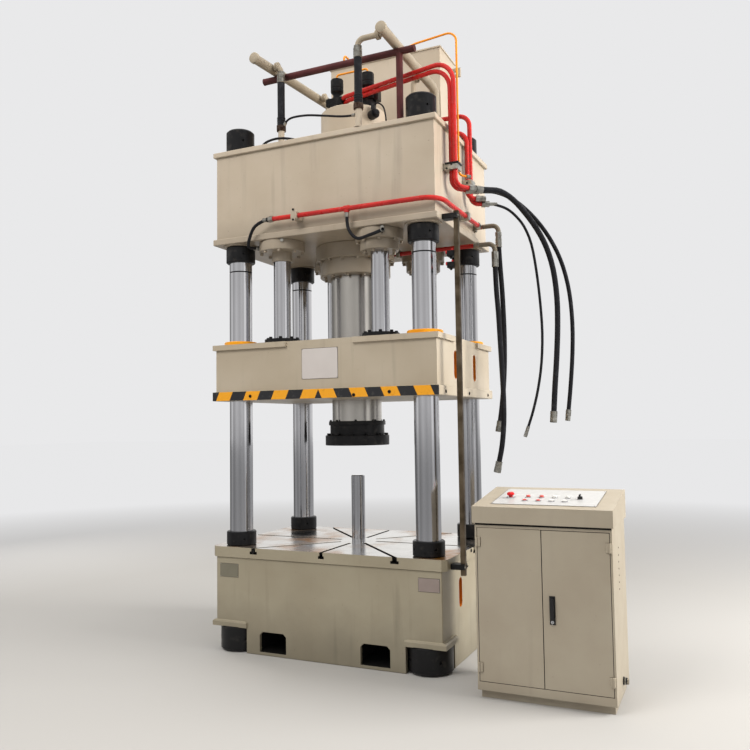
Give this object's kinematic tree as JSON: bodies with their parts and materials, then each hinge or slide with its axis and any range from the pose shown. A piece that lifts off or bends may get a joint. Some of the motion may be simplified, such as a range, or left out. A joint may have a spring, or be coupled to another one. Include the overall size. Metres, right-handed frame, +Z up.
{
  "type": "hydraulic press",
  "caption": "Four-column hydraulic press with a slotted table, a sliding platen pierced by its main ram, overhead oil tank and pipework, hanging hoses and a separate control cabinet.",
  "frame": {"origin": "centre of the bed's base at floor level", "axes": "+Z up, the front of the press faces -Y, +X towards the press's right side as seen from the front, where the hoses and the control cabinet are"},
  "size_m": [2.747, 1.6303, 4.4823],
  "materials": {
    "press_paint": "satin",
    "machined_steel": "machined",
    "hard_chrome": "ground and polished",
    "black_oxide": "satin",
    "hose_rubber": "matte",
    "red_pipe_paint": "gloss",
    "yellow_pipe_paint": "gloss",
    "maroon_primer": "matte"
  },
  "bodies": {
    "frame": {"bed_frame": "press_paint", "table_plate": "machined_steel", "column_front_left": "hard_chrome", "column_front_right": "hard_chrome", "column_rear_left": "hard_chrome", "column_rear_right": "hard_chrome", "top_nut_front_left": "black_oxide", "top_nut_front_right": "black_oxide", "top_nut_rear_left": "black_oxide", "top_nut_rear_right": "black_oxide", "crown": "press_paint", "main_cylinder": "press_paint", "side_cylinder_front_left": "press_paint", "side_cylinder_front_right": "press_paint", "side_cylinder_rear_left": "press_paint", "side_cylinder_rear_right": "press_paint", "ejector_cylinder": "machined_steel", "prefill_tank": "press_paint", "prefill_valve_left": "black_oxide", "prefill_valve_right": "black_oxide", "oil_tank": "press_paint", "header_pipe_left": "press_paint", "header_pipe_right": "press_paint", "header_hose_left": "hose_rubber", "header_hose_right": "hose_rubber", "pipe_rack": "maroon_primer", "pressure_pipes": "red_pipe_paint", "return_pipe": "red_pipe_paint", "front_pipe": "red_pipe_paint", "drain_pipe": "yellow_pipe_paint", "position_rail": "black_oxide", "control_cabinet": "press_paint", "pressure_hose": "hose_rubber", "pressure_hose_fitting": "machined_steel", "second_hose": "hose_rubber", "second_hose_fitting": "machined_steel", "return_hose": "hose_rubber", "return_hose_fitting": "machined_steel", "side_hose": "hose_rubber", "side_hose_fitting": "machined_steel", "feed_hose": "hose_rubber", "feed_hose_fitting": "machined_steel"},
    "slide": {"slide": "press_paint", "side_rod_front_left": "hard_chrome", "side_rod_front_right": "hard_chrome", "side_rod_rear_left": "hard_chrome", "side_rod_rear_right": "hard_chrome"},
    "ram": {"main_ram": "hard_chrome", "ram_flange": "black_oxide"},
    "ejector": {"ejector_rod": "hard_chrome"},
    "door_left": {"door_left": "press_paint"},
    "door_right": {"door_right": "press_paint"},
    "latch": {"latch_handle": "black_oxide"},
    "emergency_stop": {"emergency_stop": "red_pipe_paint"},
    "selector": {"selector_knob": "black_oxide"},
    "button_1": {"button_1": "black_oxide"},
    "button_2": {"button_2": "black_oxide"},
    "button_3": {"button_3": "black_oxide"},
    "button_4": {"button_4": "black_oxide"}
  },
  "joints": [
    {"name": "slide_stroke", "type": "slide", "parent": "frame", "child": "slide", "axis": [0, 0, 1], "range_m": [-0.34, 0.26]},
    {"name": "ram_stroke", "type": "slide", "parent": "slide", "child": "ram", "axis": [0, 0, 1], "range_m": [-0.15, 0.13]},
    {"name": "ejector_stroke", "type": "slide", "parent": "frame", "child": "ejector", "axis": [0, 0, 1], "range_m": [-0.46, 0]},
    {"name": "door_left_hinge", "type": "hinge", "parent": "frame", "child": "door_left", "pos_m": [1.121, -0.79, 0.092], "axis": [0, 0, -1], "range_deg": [0, 110]},
    {"name": "door_right_hinge", "type": "hinge", "parent": "frame", "child": "door_right", "pos_m": [1.849, -0.79, 0.092], "axis": [0, 0, 1], "range_deg": [0, 110]},
    {"name": "latch_turn", "type": "hinge", "parent": "door_right", "child": "latch", "pos_m": [1.537, -0.7863, 0.57], "axis": [0, -1, 0], "range_deg": [0, 90]},
    {"name": "emergency_stop_push", "type": "slide", "parent": "frame", "child": "emergency_stop", "axis": [0, 0.1285, -0.9917], "range_m": [0, 0.006], "stiffness_N_per_m": 800},
    {"name": "selector_turn", "type": "hinge", "parent": "frame", "child": "selector", "pos_m": [1.664, -0.573, 1.0904], "axis": [0, -0.1285, 0.9917], "range_deg": [-45, 45]},
    {"name": "button_1_push", "type": "slide", "parent": "frame", "child": "button_1", "axis": [0, 0.1285, -0.9917], "range_m": [0, 0.004], "stiffness_N_per_m": 400},
    {"name": "button_2_push", "type": "slide", "parent": "frame", "child": "button_2", "axis": [0, 0.1285, -0.9917], "range_m": [0, 0.004], "stiffness_N_per_m": 400},
    {"name": "button_3_push", "type": "slide", "parent": "frame", "child": "button_3", "axis": [0, 0.1285, -0.9917], "range_m": [0, 0.004], "stiffness_N_per_m": 400},
    {"name": "button_4_push", "type": "slide", "parent": "frame", "child": "button_4", "axis": [0, 0.1285, -0.9917], "range_m": [0, 0.004], "stiffness_N_per_m": 400}
  ]
}
